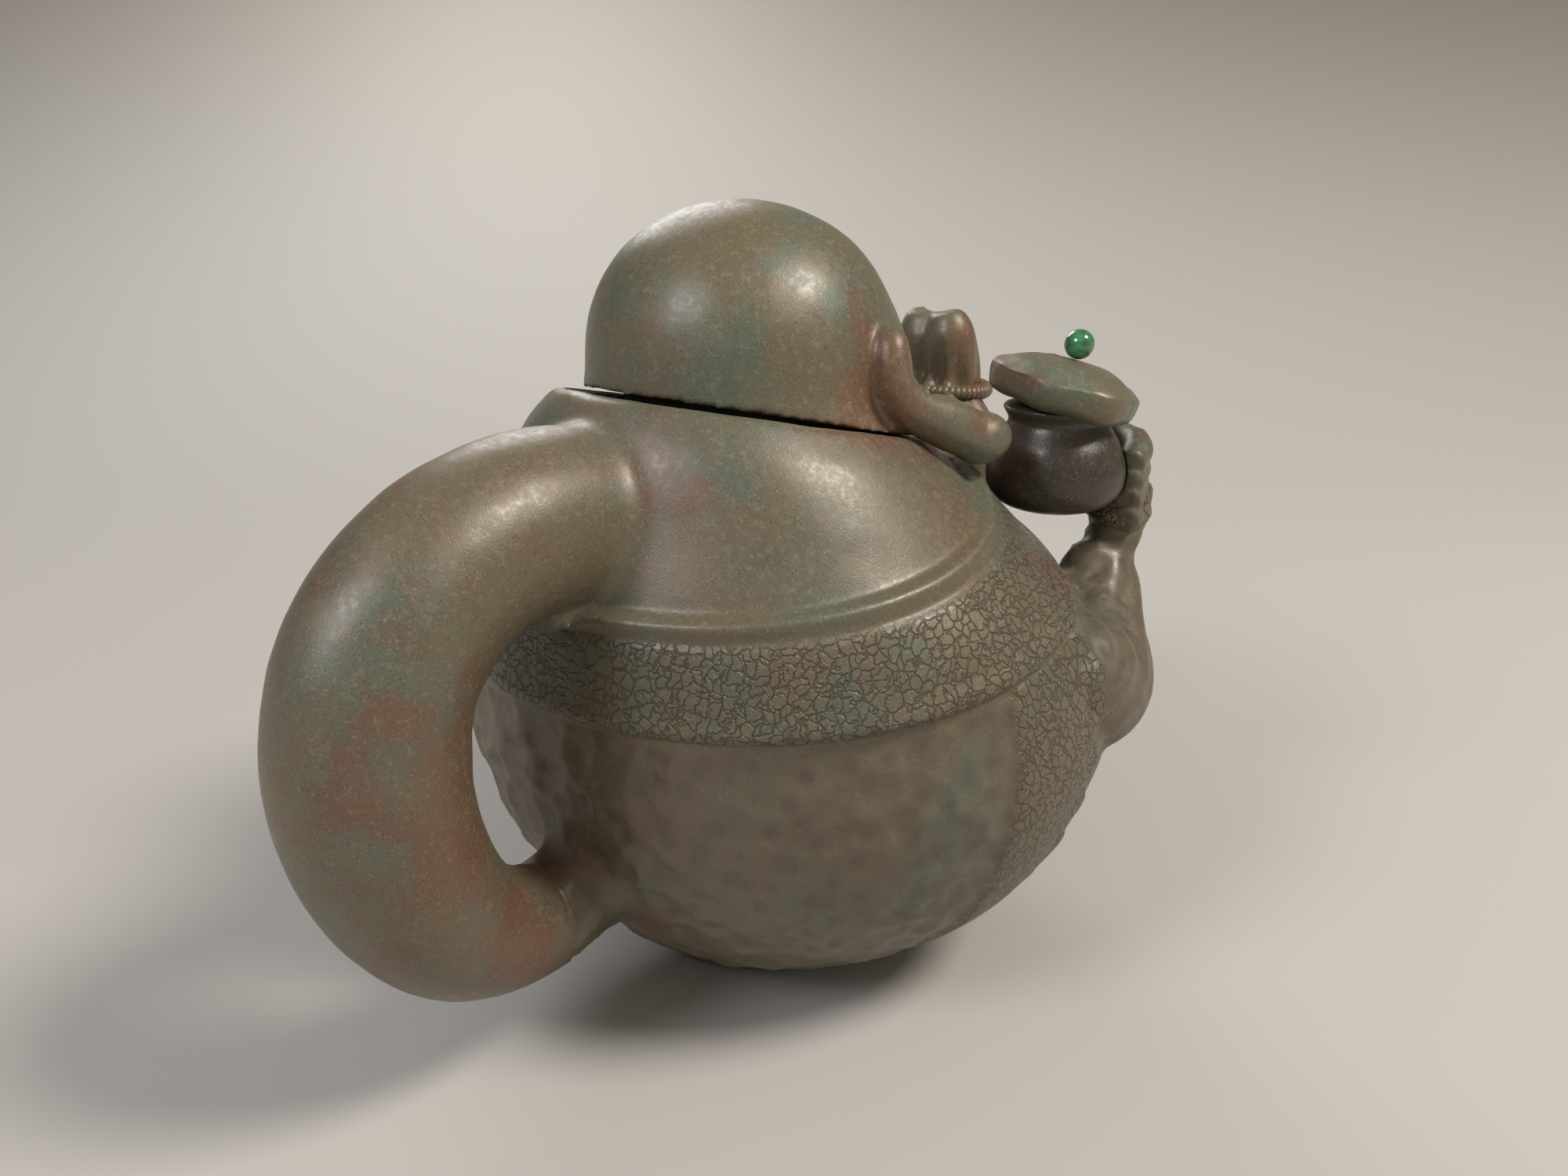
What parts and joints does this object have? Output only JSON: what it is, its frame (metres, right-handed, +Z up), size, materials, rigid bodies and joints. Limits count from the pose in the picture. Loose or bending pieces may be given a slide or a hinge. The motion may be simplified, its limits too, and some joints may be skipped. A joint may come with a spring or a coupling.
{
  "type": "figural teapot",
  "caption": "Unglazed stoneware teapot shaped as a seated robed monk; the bald head lifts off as the lid, a side spout rises from a cloth sack and a hand holds a capped jar.",
  "frame": {"origin": "centre of the flat foot, on the table plane", "axes": "+Z up; the figure faces -Y with the spout at -Y and the handle at +Y; the figure's right hand and its jar are at -X"},
  "size_m": [0.1148, 0.1493, 0.1209],
  "materials": {
    "robe_clay": "unglazed grey-brown stoneware, low satin, hammered and crackled",
    "bronze_clay": "unglazed olive-bronze stoneware, burnished satin with mottled green and rust",
    "dark_clay": "dark brown stoneware, satin",
    "green_glaze": "glossy green glaze"
  },
  "bodies": {
    "pot": {"pot_body": "robe_clay", "foot": "robe_clay", "strainer": "robe_clay", "handle": "bronze_clay", "spout": "bronze_clay", "sack_tie": "robe_clay", "robe_collar": "robe_clay", "right_arm": "robe_clay", "left_arm": "robe_clay", "left_wrist": "bronze_clay", "right_hand": "bronze_clay", "left_hand": "bronze_clay", "jar": "dark_clay", "jar_cap": "bronze_clay", "cap_bead": "green_glaze"},
    "lid": {"head": "bronze_clay", "lid_flange": "bronze_clay", "right_ear": "bronze_clay", "left_ear": "bronze_clay"}
  },
  "joints": [
    {"name": "lid_lift", "type": "slide", "parent": "pot", "child": "lid", "axis": [0, 0, 1], "range_m": [0, 0.06]}
  ]
}
